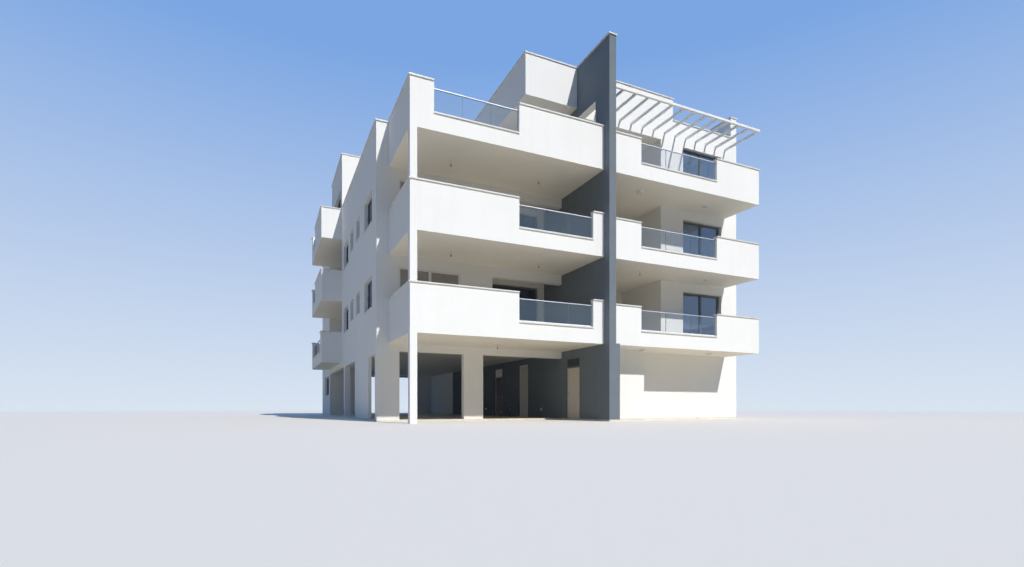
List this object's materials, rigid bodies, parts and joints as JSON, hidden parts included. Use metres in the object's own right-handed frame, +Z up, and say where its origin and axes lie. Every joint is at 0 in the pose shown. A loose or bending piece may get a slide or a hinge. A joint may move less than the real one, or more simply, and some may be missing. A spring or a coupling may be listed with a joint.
{
  "type": "apartment block",
  "caption": "White rendered apartment block over open parking, with a tall dark blade wall, balconies with glass notches, a set-back top floor and a slatted pergola.",
  "frame": {"origin": "centre of the overall box, on the resting face", "axes": "+X to the right along the street front, +Y into the plot, +Z up"},
  "size_m": [16.69, 22.195, 13.39],
  "materials": {
    "white_render": "matt painted render",
    "dark_render": "matt painted render",
    "concrete": "trowelled concrete",
    "coping_paint": "satin",
    "white_metal": "satin",
    "rail_metal": "anodised",
    "frame_metal": "powder coated",
    "window_glass": "clear, lightly tinted",
    "rail_glass": "clear, grey tinted",
    "door_white": "painted",
    "door_red": "stained",
    "lever_metal": "brushed",
    "lamp_white": "opal"
  },
  "bodies": {
    "building": {"ground_slab": "concrete", "first_floor_slab": "white_render", "second_floor_slab": "white_render", "third_floor_slab": "white_render", "roof_slab": "white_render", "blade_wall": "dark_render", "core_wall_piers": "dark_render", "core_wall_heads": "dark_render", "core_wall_rear": "white_render", "parking_piers": "white_render", "parking_beam": "white_render", "corner_column": "white_render", "ground_side_walls": "white_render", "ground_rear_wall": "white_render", "ground_front_wall": "white_render", "first_front_walls": "white_render", "second_front_walls": "white_render", "third_front_walls": "white_render", "first_side_walls": "white_render", "second_side_walls": "white_render", "third_side_walls": "white_render", "first_rear_wall": "white_render", "second_rear_wall": "white_render", "third_rear_wall": "white_render", "first_parapets": "white_render", "second_parapets": "white_render", "third_parapets": "white_render", "first_side_balcony": "white_render", "second_side_balcony": "white_render", "third_side_balcony": "white_render", "balcony_glass": "rail_glass", "handrails": "rail_metal", "terrace_parapets": "white_render", "roof_parapets": "white_render", "pergola": "white_metal", "copings": "coping_paint", "ground_window_frames": "frame_metal", "first_window_frames": "frame_metal", "second_window_frames": "frame_metal", "third_window_frames": "frame_metal", "ground_glazing": "window_glass", "first_glazing": "window_glass", "second_glazing": "window_glass", "third_glazing": "window_glass", "door_frames": "white_metal", "lamps": "lamp_white"},
    "lobby_leaf": {"lobby_door": "door_white", "lobby_lever": "lever_metal"},
    "tall_leaf": {"tall_door": "door_white", "tall_lever": "lever_metal"},
    "store_leaf": {"store_door": "door_red", "store_lever": "lever_metal"}
  },
  "joints": [
    {"name": "lobby_door_hinge", "type": "hinge", "parent": "building", "child": "lobby_leaf", "pos_m": [-0.035, -9.1085, 0.06], "axis": [0, 0, 1], "range_deg": [0, 95]},
    {"name": "tall_door_hinge", "type": "hinge", "parent": "building", "child": "tall_leaf", "pos_m": [-0.035, -4.7585, 0.06], "axis": [0, 0, 1], "range_deg": [0, 95]},
    {"name": "store_door_hinge", "type": "hinge", "parent": "building", "child": "store_leaf", "pos_m": [-0.035, -1.8985, 0.06], "axis": [0, 0, 1], "range_deg": [0, 95]}
  ]
}
